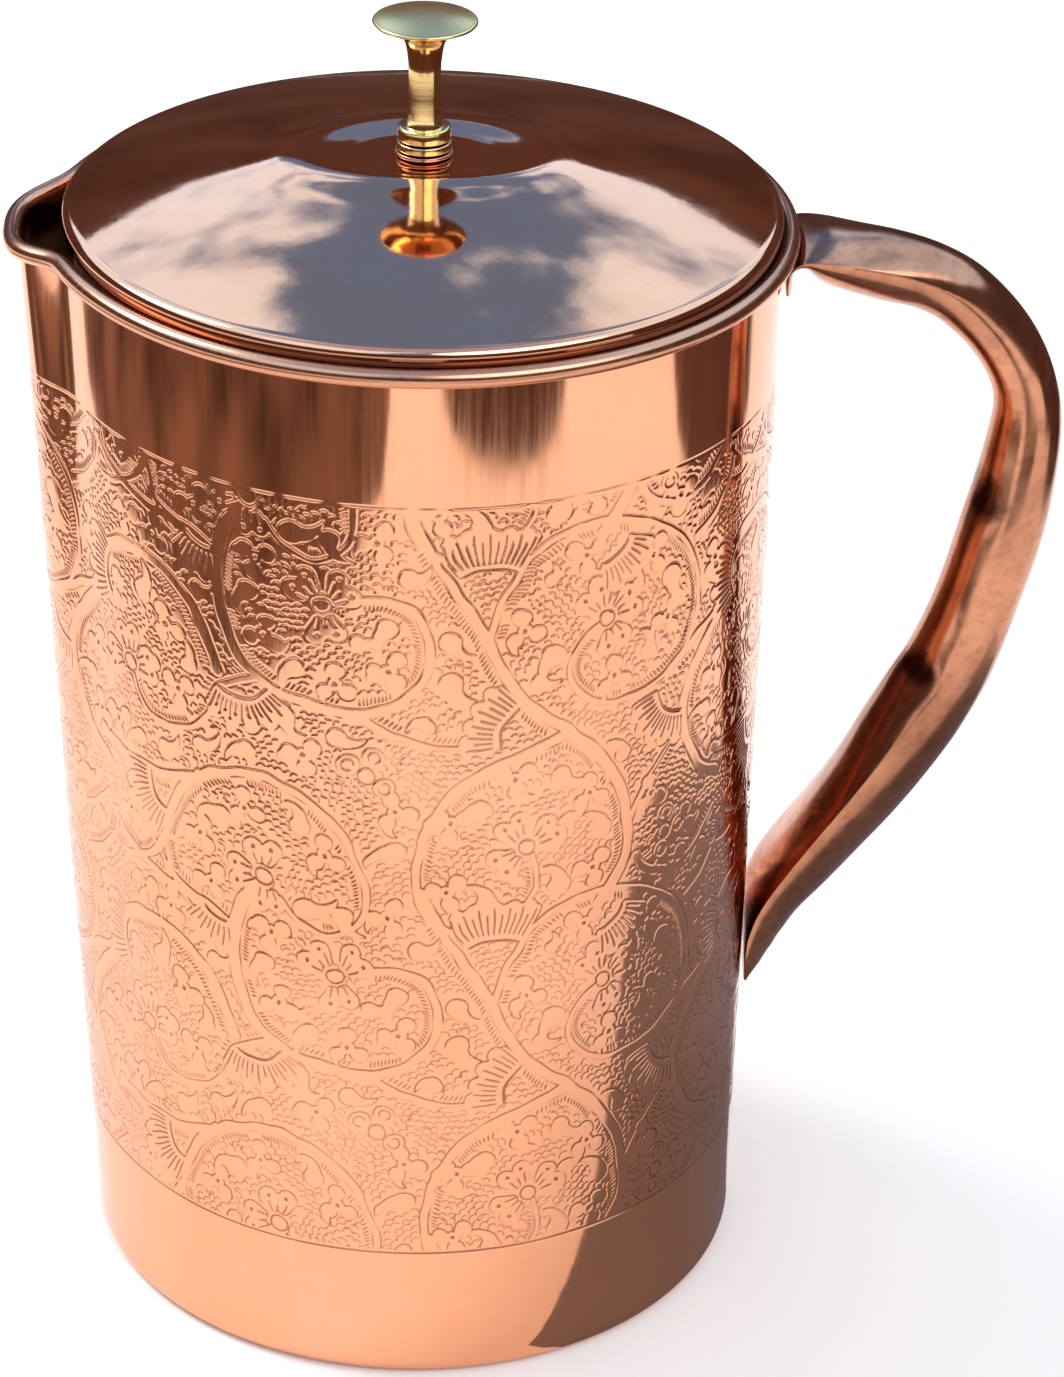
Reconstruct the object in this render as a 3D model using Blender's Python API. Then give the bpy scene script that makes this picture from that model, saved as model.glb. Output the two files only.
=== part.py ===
"""Copper water jug with a lift-off lid: engraved sheet wall, tube handle, brass knob.

Blender 4.5. Metres, +Z up, origin on the jug's axis at the plane it stands on.
+X points at the handle and -X at the spout. Run: blender --background --python part.py
"""
import math

import bpy
from mathutils import Vector

MM = 0.001

# ---- driving dimensions, mm ------------------------------------------------
# wall
R_TOP = 58.0            # outside radius where the wall meets the rim
R_BASE = 55.8           # outside radius at the foot
SHEET = 0.6             # wall thickness
RIM_Z = 186.9           # height of the rolled rim's centre
RIM_HOLLOW = 0.9        # radius of the space inside the rolled rim
RIM_GAP_DEG = 110.0     # where the rolled edge stops, short of the wall
FOOT_R = 2.5            # bend radius at the foot
FLANGE = 8.0            # width of the turned-in foot
WIRE_R = 0.5            # wire inside the rolled rim
# spout, drawn out of the wall at -X and fading to nothing at the foot
SPOUT_OUT = 6.8         # how far it stands out at the rim
SPOUT_HALF_DEG = 12.8   # its half width at the rim
SPOUT_SPREAD_DEG = 17.0  # how much wider it is at the foot
SPOUT_DROP = 1.5        # how far its lip dips below the rim
SPOUT_DROP_FROM = 150.0
# base disc, joggled so that it laps over the foot and lies flush below
DISC_FLAT_R = 46.0
DISC_STEP_R = 47.4
DISC_R = 53.6
DISC_LIFT = 0.95
# lid
LID_R = 57.7            # outside radius of its lip
LID_TOP = 198.9         # top of the dome
LID_EDGE_R = 56.3       # where the dome turns down
LID_EDGE_Z = 190.9
LIP_Z = 188.25          # lower edge of the lip
BOSS_R = 6.0            # flat seat for the knob
SCREW_HOLE_R = 1.8
SKIRT_R = 56.0
SKIRT_TOP = 189.9
SKIRT_BOTTOM = 181.5
# knob and its fastening
CAP_R = 8.35
CAP_Z = 221.2
STEM_R = 2.6
FLANGE_R = 4.25
KNOB_BOTTOM = 201.6
FLANGE_TOP = 203.8
COLLAR_R = 4.45
WASHER_R = 4.65
UNDER_WASHER_R = 5.0
SCREW_R = 1.5
SCREW_HEAD_R = 2.9
SCREW_TOP = 211.5
SCREW_HEAD_BOTTOM = 195.1

# handle, a tapered tube squashed flat at both ends. Along the crease line between its two
# skins: x, z, height of the outer skin, height of the grip side's skin, half width,
# how hollow-edged the flatter skin is, how far the piece wraps round the wall
HANDLE = (
    (58.90, 178.6, 0.75, 0.75, 8.6, 0.0, 1.0),
    (59.00, 181.0, 0.75, 0.75, 9.8, 0.0, 1.0),
    (59.50, 183.4, 0.75, 1.10, 10.2, 0.0, 1.0),
    (61.20, 184.9, 0.80, 3.20, 10.3, 0.4, 0.7),
    (64.50, 184.9, 1.70, 6.10, 10.3, 0.7, 0.2),
    (69.00, 184.1, 2.30, 7.20, 9.7, 0.7, 0.0),
    (76.00, 182.3, 3.50, 7.60, 8.4, 0.6, 0.0),
    (82.50, 179.5, 4.50, 6.60, 7.0, 0.4, 0.0),
    (88.30, 175.2, 5.20, 5.80, 6.1, 0.1, 0.0),
    (94.40, 167.9, 5.50, 5.20, 5.7, 0.0, 0.0),
    (98.30, 159.5, 5.55, 5.10, 5.8, 0.0, 0.0),
    (99.00, 150.3, 6.20, 6.00, 6.3, 0.0, 0.0),
    (96.60, 135.4, 7.30, 6.80, 7.1, 0.0, 0.0),
    (93.20, 119.8, 7.00, 7.20, 7.1, 0.0, 0.0),
    (88.80, 108.8, 8.20, 6.90, 7.3, 0.0, 0.0),
    (84.00, 101.2, 9.60, 6.20, 7.8, 0.1, 0.0),
    (78.80, 93.9, 10.40, 4.80, 8.5, 0.35, 0.0),
    (73.30, 86.2, 10.60, 3.00, 9.2, 0.6, 0.0),
    (67.80, 78.5, 10.20, 1.80, 9.7, 0.75, 0.0),
    (62.90, 71.0, 9.40, 1.10, 10.0, 0.75, 0.2),
    (59.60, 64.6, 7.90, 0.80, 10.1, 0.5, 0.7),
    (58.00, 59.2, 6.50, 0.75, 10.0, 0.3, 1.0),
    (57.50, 55.0, 4.90, 0.75, 9.7, 0.0, 1.0),
    (57.50, 51.8, 3.10, 0.75, 9.1, 0.0, 1.0),
    (57.45, 49.0, 0.90, 0.75, 8.0, 0.0, 1.0),
)
HANDLE_SHEET = 0.8
HANDLE_SLIT = 0.15      # half the slit left inside a squashed end
ROUND_SIDE = 0.3        # how much of that shows on the rounder skin
HANDLE_STEPS = 2        # rings between two rows of the list above
HANDLE_SIDES = 18


# ---- scene and helpers -----------------------------------------------------
for old in list(bpy.data.objects):
    bpy.data.objects.remove(old, do_unlink=True)


def material(name, colour, metallic, roughness):
    mat = bpy.data.materials.new(name)
    mat.use_nodes = True
    bsdf = mat.node_tree.nodes["Principled BSDF"]
    bsdf.inputs["Base Color"].default_value = (*colour, 1.0)
    bsdf.inputs["Metallic"].default_value = metallic
    bsdf.inputs["Roughness"].default_value = roughness
    mat.diffuse_color = (*colour, 1.0)
    return mat


COPPER = (0.93, 0.46, 0.31)
COPPER_DULL = (0.52, 0.36, 0.31)
BRASS = (0.80, 0.62, 0.30)
STEEL = (0.60, 0.60, 0.58)


def add_object(name, verts, faces, mat, pivot=(0.0, 0.0, 0.0), parent=None):
    """A mesh object from points in mm, with its origin at the pivot (mm)."""
    mesh = bpy.data.meshes.new(name)
    at = Vector(pivot)
    mesh.from_pydata([(Vector(v) - at) * MM for v in verts], [], faces)
    mesh.validate()
    mesh.shade_smooth()
    mesh.set_sharp_from_angle(angle=math.radians(38.0))
    mesh.materials.append(mat)
    obj = bpy.data.objects.new(name, mesh)
    bpy.context.scene.collection.objects.link(obj)
    if parent is None:
        obj.location = at * MM
    else:
        obj.parent = parent
        obj.location = at * MM - parent.matrix_world.translation
    return obj


def ring_faces(rings, size, closed):
    """Quads joining each ring of points to the next."""
    faces = []
    for i in range(rings if closed else rings - 1):
        a, b = i * size, (i + 1) % rings * size
        for j in range(size):
            k = (j + 1) % size
            faces.append((a + j, b + j, b + k, a + k))
    return faces


def revolve(name, profile, segments, mat, **where):
    """Turn a closed (radius, z) outline, listed anticlockwise, about the Z axis.

    A point at radius 0 becomes one vertex on the axis.
    """
    verts, index = [], []
    for r, z in profile:
        if r == 0.0:
            index.append([len(verts)] * segments)
            verts.append((0.0, 0.0, z))
            continue
        index.append([len(verts) + s for s in range(segments)])
        for s in range(segments):
            a = 2.0 * math.pi * s / segments
            verts.append((r * math.cos(a), r * math.sin(a), z))
    faces = []
    for p in range(len(profile)):
        q = (p + 1) % len(profile)
        if profile[p][0] == 0.0 and profile[q][0] == 0.0:
            continue
        for s in range(segments):
            t = (s + 1) % segments
            corners = [index[p][s], index[p][t], index[q][t], index[q][s]]
            faces.append(tuple(dict.fromkeys(corners)))
    return add_object(name, verts, faces, mat, **where)


def arc(cx, cz, radius, start, stop, steps):
    """Points on a circle, angles in degrees."""
    out = []
    for i in range(steps + 1):
        a = math.radians(start + (stop - start) * i / steps)
        out.append((cx + radius * math.cos(a), cz + radius * math.sin(a)))
    return out


# ---- the wall's outline at any height --------------------------------------
def spout_bell(degrees_off, half):
    """1 in the middle of the spout, 0 well away from it."""
    broad = math.exp(-(degrees_off / half) ** 4)
    tail = math.exp(-(degrees_off / (1.7 * half)) ** 2)
    return 0.85 * broad + 0.15 * tail


def wall_point(angle_deg, z):
    """A point of the wall's outside, in plan."""
    part_way = z / RIM_Z
    off = abs((angle_deg % 360.0) - 180.0)
    half = SPOUT_HALF_DEG + SPOUT_SPREAD_DEG * (1.0 - part_way)
    r = R_BASE + (R_TOP - R_BASE) * part_way + SPOUT_OUT * part_way * spout_bell(off, half)
    a = math.radians(angle_deg)
    return Vector((r * math.cos(a), r * math.sin(a)))


def wall_offset(angle_deg, offset, z):
    """A point set off the wall's outside face, square to it, with the spout's dip."""
    here = wall_point(angle_deg, z)
    along = wall_point(angle_deg + 0.5, z) - wall_point(angle_deg - 0.5, z)
    out = Vector((along.y, -along.x)).normalized()
    place = here + out * offset
    off = abs((angle_deg % 360.0) - 180.0)
    rise = min(max((z - SPOUT_DROP_FROM) / (RIM_Z - SPOUT_DROP_FROM), 0.0), 1.0)
    drop = SPOUT_DROP * spout_bell(off, SPOUT_HALF_DEG) * rise * rise * (3.0 - 2.0 * rise)
    return (place.x, place.y, z - drop)


WALL_ANGLES = (
    [5.0 * i for i in range(27)]
    + [132.5 + 2.5 * i for i in range(39)]
    + [230.0 + 5.0 * i for i in range(26)]
)


def sweep_round_wall(name, profile, mat, angles=WALL_ANGLES):
    """Carry a closed (offset from the wall, z) outline all the way round the jug."""
    verts = [wall_offset(a, off, z) for a in angles for off, z in profile]
    faces = ring_faces(len(angles), len(profile), True)
    return add_object(name, verts, faces, mat)


# ---- jug: wall, rim wire, base ---------------------------------------------
def build_wall():
    mid_heights = (60.0, 120.0, 165.0)
    curl_out = RIM_HOLLOW + SHEET
    outside = [(-FLANGE, 0.0)] + arc(-FOOT_R, FOOT_R, FOOT_R, -90.0, 0.0, 3)
    outside += [(0.0, z) for z in mid_heights]
    hollow = arc(RIM_HOLLOW, RIM_Z, RIM_HOLLOW, 180.0, -RIM_GAP_DEG, 7)
    back = arc(RIM_HOLLOW, RIM_Z, curl_out, -RIM_GAP_DEG, 180.0, 7)
    inside = [(-SHEET, z) for z in reversed(mid_heights)]
    inside += arc(-FOOT_R, FOOT_R, FOOT_R - SHEET, 0.0, -90.0, 3) + [(-FLANGE, SHEET)]
    outline = outside + hollow + back + inside
    sweep_round_wall("body_wall", outline, material("copper_wall", COPPER, 1.0, 0.18))


def build_rim_wire():
    outline = arc(RIM_HOLLOW, RIM_Z, WIRE_R, 0.0, 300.0, 5)
    sweep_round_wall("rim_wire", outline, material("copper_wire", COPPER_DULL, 1.0, 0.4))


def build_base_disc():
    profile = [
        (0.0, 0.0), (DISC_FLAT_R, 0.0), (DISC_STEP_R, DISC_LIFT), (DISC_R, DISC_LIFT),
        (DISC_R, DISC_LIFT + SHEET), (DISC_STEP_R - 0.3, DISC_LIFT + SHEET),
        (DISC_FLAT_R - 0.3, SHEET), (0.0, SHEET),
    ]
    revolve("base_disc", profile, 72, material("copper_base", COPPER, 1.0, 0.35))


# ---- handle ----------------------------------------------------------------
def smooth_rows(rows, steps):
    """Catmull-Rom interpolation of the handle's rows."""
    out = []
    last = len(rows) - 1
    for i in range(last):
        p0, p1, p2, p3 = (rows[max(i - 1, 0)], rows[i], rows[i + 1], rows[min(i + 2, last)])
        for s in range(steps):
            t = s / steps
            row = []
            for a, b, c, d in zip(p0, p1, p2, p3):
                row.append(0.5 * (2 * b + (c - a) * t + (2 * a - 5 * b + 4 * c - d) * t * t
                                  + (3 * b - a - 3 * c + d) * t ** 3))
            out.append(row)
    out.append(list(rows[last]))
    return out


def handle_ring(row, normal, shrink):
    """One section of the tube: round, or pinched to an edge at each side."""
    x, z, outer, grip, wide, edge, wrap = row
    wide_in = wide - shrink
    ring = []
    for j in range(HANDLE_SIDES):
        a = 2.0 * math.pi * j / HANDLE_SIDES
        s = math.sin(a)
        height, other = (outer, grip) if s > 0.0 else (grip, outer)
        power = 1.0 + edge * (1.0 if height < other else ROUND_SIDE)
        if shrink:
            height = max(height - shrink, HANDLE_SLIT)
        n = math.copysign(abs(s) ** power, s) * height
        y = math.cos(a) * wide_in
        around = R_TOP - math.sqrt(R_TOP ** 2 - y * y)
        ring.append((x + normal.x * n - wrap * around, y, z + normal.y * n))
    return ring


def build_handle():
    rows = smooth_rows(HANDLE, HANDLE_STEPS)
    outer, inner = [], []
    for i, row in enumerate(rows):
        before, after = rows[max(i - 1, 0)], rows[min(i + 1, len(rows) - 1)]
        along = Vector((after[0] - before[0], after[1] - before[1])).normalized()
        normal = Vector((-along.y, along.x))
        outer += handle_ring(row, normal, 0.0)
        inner += handle_ring(row, normal, HANDLE_SHEET)
    size, count = HANDLE_SIDES, len(rows)
    skin = ring_faces(count, size, False)
    shift = len(outer)
    faces = [f[::-1] for f in skin] + [tuple(shift + v for v in f) for f in skin]
    end = (count - 1) * size
    for j in range(size):
        k = (j + 1) % size
        faces.append((shift + j, shift + k, k, j))
        faces.append((shift + end + k, shift + end + j, end + j, end + k))
    add_object("handle", outer + inner, faces, material("copper_tube", COPPER, 1.0, 0.16))


# ---- lid -------------------------------------------------------------------
def dome_z(r):
    """Height of the lid's top at a radius: a flat seat, then a shallow dome."""
    if r <= BOSS_R:
        return LID_TOP
    t = (r - BOSS_R) / (LID_EDGE_R - BOSS_R)
    return LID_TOP - (LID_TOP - LID_EDGE_Z) * t ** 1.75


def empty(name, z, parent=None):
    """A pivot on the lid's axis."""
    pivot = bpy.data.objects.new(name, None)
    bpy.context.scene.collection.objects.link(pivot)
    pivot.parent = parent
    held_at = parent.matrix_world.translation if parent else Vector()
    pivot.location = Vector((0.0, 0.0, z * MM)) - held_at
    bpy.context.view_layer.update()
    return pivot


def build_lid(pivot):
    radii = [SCREW_HOLE_R, BOSS_R, 15.0, 26.0, 37.0, 48.0]
    turn = LID_R - LID_EDGE_R
    outer = [(r, dome_z(r)) for r in radii]
    outer += arc(LID_EDGE_R, LID_EDGE_Z - turn, turn, 90.0, 0.0, 3) + [(LID_R, LIP_Z)]
    inner = [(LID_R - SHEET, LIP_Z)]
    inner += arc(LID_EDGE_R, LID_EDGE_Z - turn, turn - SHEET, 0.0, 90.0, 2)
    inner += [(r, dome_z(r) - SHEET) for r in reversed(radii)]
    shell_mat = material("copper_lid", COPPER, 1.0, 0.12)
    where = {"pivot": (0.0, 0.0, RIM_Z), "parent": pivot}
    revolve("lid_shell", (outer + inner)[::-1], 64, shell_mat, **where)

    skirt = [
        (SKIRT_R - SHEET, SKIRT_TOP), (SKIRT_R - SHEET, SKIRT_BOTTOM + 1.4),
        (SKIRT_R - 1.5, SKIRT_BOTTOM + 0.5), (SKIRT_R - 1.1, SKIRT_BOTTOM),
        (SKIRT_R, SKIRT_BOTTOM + 1.2), (SKIRT_R, SKIRT_TOP),
    ]
    revolve("lid_skirt", skirt, 64, material("copper_skirt", COPPER, 1.0, 0.3), **where)


def ring_profile(r_in, r_out, z0, z1, chamfer):
    """Outline of a flat ring with its outer corners broken."""
    return [
        (r_in, z0), (r_out - chamfer, z0), (r_out, z0 + chamfer),
        (r_out, z1 - chamfer), (r_out - chamfer, z1), (r_in, z1),
    ]


def build_knob(pivot):
    where = {"pivot": (0.0, 0.0, RIM_Z), "parent": pivot}
    brass = material("brass_knob", BRASS, 1.0, 0.22)
    profile = [
        (SCREW_HOLE_R, KNOB_BOTTOM), (FLANGE_R - 0.25, KNOB_BOTTOM),
        (FLANGE_R, KNOB_BOTTOM + 0.25), (FLANGE_R, FLANGE_TOP - 0.35),
        (FLANGE_R - 0.35, FLANGE_TOP), (STEM_R + 0.3, FLANGE_TOP),
        (STEM_R + 0.1, FLANGE_TOP + 1.4), (STEM_R, FLANGE_TOP + 5.0),
        (STEM_R, CAP_Z - 6.5), (STEM_R + 0.25, CAP_Z - 4.0), (STEM_R + 0.75, CAP_Z - 2.6),
        (STEM_R + 1.7, CAP_Z - 1.7), (CAP_R - 1.9, CAP_Z - 0.75), (CAP_R - 0.15, CAP_Z - 0.2),
        (CAP_R, CAP_Z + 0.05), (CAP_R - 0.3, CAP_Z + 0.25), (CAP_R - 2.4, CAP_Z + 0.7),
        (CAP_R - 5.2, CAP_Z + 1.0), (0.0, CAP_Z + 1.1),
        (0.0, SCREW_TOP + 0.5), (SCREW_HOLE_R, SCREW_TOP + 0.5),
    ]
    revolve("knob", profile, 32, brass, **where)
    collar = ring_profile(SCREW_HOLE_R, COLLAR_R, KNOB_BOTTOM - 1.6, KNOB_BOTTOM - 0.3, 0.2)
    revolve("knob_collar", collar, 32, material("brass_collar", BRASS, 1.0, 0.3), **where)
    washer = ring_profile(SCREW_HOLE_R, WASHER_R, LID_TOP + 0.25, KNOB_BOTTOM - 1.9, 0.1)
    revolve("knob_washer", washer, 32, material("copper_washer", COPPER, 1.0, 0.35), **where)
    under = LID_TOP - SHEET - 0.3
    low = ring_profile(SCREW_HOLE_R, UNDER_WASHER_R, under - 0.7, under, 0.12)
    revolve("under_washer", low, 32, material("brass_washer", BRASS, 1.0, 0.35), **where)


def build_screw(pivot):
    seat = LID_TOP - SHEET - 0.3 - 0.7 - 0.3
    low = SCREW_HEAD_BOTTOM
    profile = [
        (0.0, low), (SCREW_HEAD_R - 1.1, low + 0.1), (SCREW_HEAD_R - 0.3, low + 0.6),
        (SCREW_HEAD_R, low + 1.3), (SCREW_HEAD_R, seat), (SCREW_R, seat),
        (SCREW_R, SCREW_TOP - 0.4), (SCREW_R - 0.4, SCREW_TOP), (0.0, SCREW_TOP),
    ]
    revolve("knob_screw", profile, 24, material("steel_screw", STEEL, 1.0, 0.35),
            pivot=(0.0, 0.0, RIM_Z), parent=pivot)


build_wall()
build_rim_wire()
build_base_disc()
build_handle()
lift_pivot = empty("lid_lift_pivot", RIM_Z)
turn_pivot = empty("lid_turn_pivot", RIM_Z, lift_pivot)
build_screw(lift_pivot)
build_lid(turn_pivot)
build_knob(turn_pivot)
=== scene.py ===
"""Looks for the copper water jug: chased copper wall, polished lid and handle, turned brass knob.

Blender 4.5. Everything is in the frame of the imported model, +Z up, +X towards the handle.
Shapes are worked out in mm and become metres in add_object.
"""
import math

import bpy
import numpy as np
from mathutils import Matrix, Vector


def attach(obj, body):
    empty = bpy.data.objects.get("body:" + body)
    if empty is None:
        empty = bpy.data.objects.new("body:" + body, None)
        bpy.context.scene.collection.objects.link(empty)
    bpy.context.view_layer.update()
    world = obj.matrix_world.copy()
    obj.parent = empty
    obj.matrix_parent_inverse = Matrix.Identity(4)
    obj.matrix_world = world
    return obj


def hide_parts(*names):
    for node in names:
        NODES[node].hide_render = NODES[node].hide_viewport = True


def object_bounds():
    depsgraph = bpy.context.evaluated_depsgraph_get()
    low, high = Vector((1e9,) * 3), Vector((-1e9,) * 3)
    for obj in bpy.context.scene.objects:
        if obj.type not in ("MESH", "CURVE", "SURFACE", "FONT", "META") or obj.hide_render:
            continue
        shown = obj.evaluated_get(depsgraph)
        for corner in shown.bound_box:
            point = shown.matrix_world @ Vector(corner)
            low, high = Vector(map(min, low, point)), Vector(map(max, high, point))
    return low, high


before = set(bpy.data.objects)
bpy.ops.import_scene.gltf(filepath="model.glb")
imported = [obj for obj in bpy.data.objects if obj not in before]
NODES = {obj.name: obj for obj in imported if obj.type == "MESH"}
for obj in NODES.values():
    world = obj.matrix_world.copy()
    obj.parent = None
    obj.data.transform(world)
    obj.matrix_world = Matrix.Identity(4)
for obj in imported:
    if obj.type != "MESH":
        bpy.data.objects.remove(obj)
CAD_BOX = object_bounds()
MM = 0.001

# ---- driving dimensions, mm, as in the frame --------------------------------
R_TOP = 58.0            # wall at the rim, outside
R_BASE = 55.8           # wall at the foot, outside
SHEET = 0.6             # thickness of wall, lid and ring
RIM_Z = 186.9           # centre of the rolled rim
RIM_HOLLOW = 0.9        # radius inside the roll
RIM_GAP_DEG = 110.0     # where the roll stops short of the wall
FOOT_R = 2.5            # round turn at the foot
FLANGE = 8.0            # how far the foot is turned in
SPOUT_OUT = 6.8         # how far the rim is drawn out
SPOUT_HALF_DEG = 12.8   # half width of the spout at the rim
SPOUT_SPREAD_DEG = 17.0     # and how much wider at the foot
SPOUT_DROP = 1.5        # dip of the rim at the spout
SPOUT_DROP_FROM = 150.0
BAND_LOW = 25.3         # the chased band
BAND_HIGH = 164.6
BORDER = 0.6            # the fine part of the mesh goes this far past the band
CUT_DEPTH = 0.105       # depth of a chased line
BEAD_FROM = 185.5       # the rolled rim is duller above this
ARC_R = 57.0            # the band is measured along an arc of this radius
FRONT_DEG = 270.0       # the side that the camera sees
LID_R = 57.7
LID_TOP = 198.9         # height of the lid's seat for the knob
LID_EDGE_R = 56.3       # where the dome turns down into the lip
LID_EDGE_Z = 190.9
LIP_Z = 188.25          # foot of the lip
BOSS_R = 6.0            # the flat seat
SWELL = 0.75            # height of the lid's swell round the knob's seat
SWELL_R = 14.0          # how far from the middle it is highest, front to back
SWELL_WIDE = 1.5        # it is an oval, this much wider than deep
SCREW_HOLE_R = 1.8
SKIRT_R = 56.0          # locating ring under the lid
SKIRT_TOP = 189.9
SKIRT_BOTTOM = 181.5
CAP_R = 8.35            # the knob's cap, and the height of its rim
CAP_Z = 221.2
STEM_R = 2.6
FLANGE_R = 4.25         # flange at the foot of the knob
KNOB_BOTTOM = 201.6
FLANGE_TOP = 203.8
SCREW_TOP = 211.5
COLLAR_R = 4.45
WASHER_R = 4.65
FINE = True


# ---- mesh helpers ------------------------------------------------------------
def add_object(name, verts, faces, mat, body, replaces=None, sharp_deg=None):
    """A smooth-shaded piece from points in mm; it rides on a body and stands for a CAD node."""
    mesh = bpy.data.meshes.new(name)
    points = np.asarray(verts, dtype=np.float64) * MM
    quads = np.asarray(faces, dtype=np.int32)
    mesh.vertices.add(len(points))
    mesh.vertices.foreach_set("co", points.ravel().astype(np.float32))
    mesh.loops.add(quads.size)
    mesh.loops.foreach_set("vertex_index", quads.ravel())
    mesh.polygons.add(len(quads))
    mesh.polygons.foreach_set("loop_start", np.arange(len(quads), dtype=np.int32) * quads.shape[1])
    mesh.update(calc_edges=True)
    mesh.shade_smooth()
    if sharp_deg is not None:
        mesh.set_sharp_from_angle(angle=math.radians(sharp_deg))
    mesh.materials.append(mat)
    obj = bpy.data.objects.new(name, mesh)
    bpy.context.scene.collection.objects.link(obj)
    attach(obj, body)
    if replaces:
        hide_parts(replaces)
    return obj


def loft_faces(rings, size, closed):
    """Quads joining each ring of points to the next, as an array."""
    last = rings if closed else rings - 1
    i = np.arange(last)[:, None]
    j = np.arange(size)[None, :]
    k = (j + 1) % size
    a, b = i * size, (i + 1) % rings * size
    return np.stack([a + j, b + j, b + k, a + k], axis=-1).reshape(-1, 4)


def revolve(profile, segments, wobble=None):
    """Turn a closed (radius, z) outline, listed clockwise from outside, about the Z axis."""
    ring = np.asarray(profile, dtype=float)
    angles = 2.0 * np.pi * np.arange(segments) / segments
    r = ring[None, :, 0]
    z = ring[None, :, 1] + (wobble(r, angles[:, None]) if wobble else 0.0 * angles[:, None])
    x, y = r * np.cos(angles)[:, None], r * np.sin(angles)[:, None]
    return np.stack([x, y, z], axis=-1).reshape(-1, 3), loft_faces(segments, len(ring), True)


def arc(cx, cz, radius, start, stop, steps):
    """Points on a circle, angles in degrees."""
    angles = [math.radians(start + (stop - start) * i / steps) for i in range(steps + 1)]
    return [(cx + radius * math.cos(a), cz + radius * math.sin(a)) for a in angles]


def line(start, stop, steps):
    """Points along a straight line, without its first point."""
    return [(start[0] + (stop[0] - start[0]) * i / steps, start[1] + (stop[1] - start[1]) * i / steps)
            for i in range(1, steps + 1)]


# ---- materials ---------------------------------------------------------------
class Nodes:
    """A short way to build a material's node tree."""

    def __init__(self, name):
        self.mat = bpy.data.materials.new(name)
        self.mat.use_nodes = True
        self.tree = self.mat.node_tree
        self.bsdf = self.tree.nodes["Principled BSDF"]
        self.coords = self.tree.nodes.new("ShaderNodeTexCoord")

    def link(self, source, target):
        self.tree.links.new(source, target)

    def noise(self, scale, stretch=(1.0, 1.0, 1.0), detail=3.0, rough=0.5):
        """Noise in object space; scale is per metre and stretch is per axis."""
        mapping = self.tree.nodes.new("ShaderNodeMapping")
        mapping.inputs["Scale"].default_value = stretch
        self.link(self.coords.outputs["Object"], mapping.inputs["Vector"])
        node = self.tree.nodes.new("ShaderNodeTexNoise")
        node.inputs["Scale"].default_value = scale
        node.inputs["Detail"].default_value = detail
        node.inputs["Roughness"].default_value = rough
        self.link(mapping.outputs["Vector"], node.inputs["Vector"])
        return node.outputs["Fac"]

    def height(self):
        node = self.tree.nodes.new("ShaderNodeSeparateXYZ")
        self.link(self.coords.outputs["Object"], node.inputs["Vector"])
        return node.outputs["Z"]

    def distance(self, place):
        """How far from a place, in object space; the place is in mm."""
        node = self.tree.nodes.new("ShaderNodeVectorMath")
        node.operation = "DISTANCE"
        self.link(self.coords.outputs["Object"], node.inputs[0])
        node.inputs[1].default_value = [v * MM for v in place]
        return node.outputs["Value"]

    def remap(self, value, low, high, to_low, to_high):
        node = self.tree.nodes.new("ShaderNodeMapRange")
        limits = (("From Min", low), ("From Max", high), ("To Min", to_low), ("To Max", to_high))
        for socket, number in limits:
            node.inputs[socket].default_value = number
        self.link(value, node.inputs["Value"])
        return node.outputs["Result"]

    def maths(self, operation, a, b):
        node = self.tree.nodes.new("ShaderNodeMath")
        node.operation = operation
        for socket, value in zip(node.inputs, (a, b)):
            if isinstance(value, (int, float)):
                socket.default_value = value
            else:
                self.link(value, socket)
        return node.outputs["Value"]

    def blend(self, factor, a, b):
        """Mix two colours; each is three numbers or a socket."""
        node = self.tree.nodes.new("ShaderNodeMix")
        node.data_type = "RGBA"
        self.link(factor, node.inputs["Factor"])
        for socket, value in ((node.inputs[6], a), (node.inputs[7], b)):
            if isinstance(value, tuple):
                socket.default_value = (*value, 1.0)
            else:
                self.link(value, socket)
        return node.outputs[2]

    def bump(self, height, distance, strength=1.0, normal=None):
        node = self.tree.nodes.new("ShaderNodeBump")
        node.inputs["Distance"].default_value = distance
        node.inputs["Strength"].default_value = strength
        self.link(height, node.inputs["Height"])
        if normal is not None:
            self.link(normal, node.inputs["Normal"])
        return node.outputs["Normal"]


COPPER = (0.90, 0.425, 0.24)
COPPER_WARM = (0.86, 0.375, 0.195)
COPPER_DULL = (0.70, 0.305, 0.165)
COPPER_BROWN = (0.36, 0.145, 0.078)
COPPER_DARK = (0.16, 0.050, 0.025)
COPPER_GREY = (0.62, 0.285, 0.16)
# colour of the painted dark reflections
PAINTED_DARK_REFLECTION = (0.045, 0.020, 0.012)
BRASS = (0.93, 0.68, 0.28)
BRASS_WARM = (0.78, 0.53, 0.22)
STEEL = (0.58, 0.57, 0.54)


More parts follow.
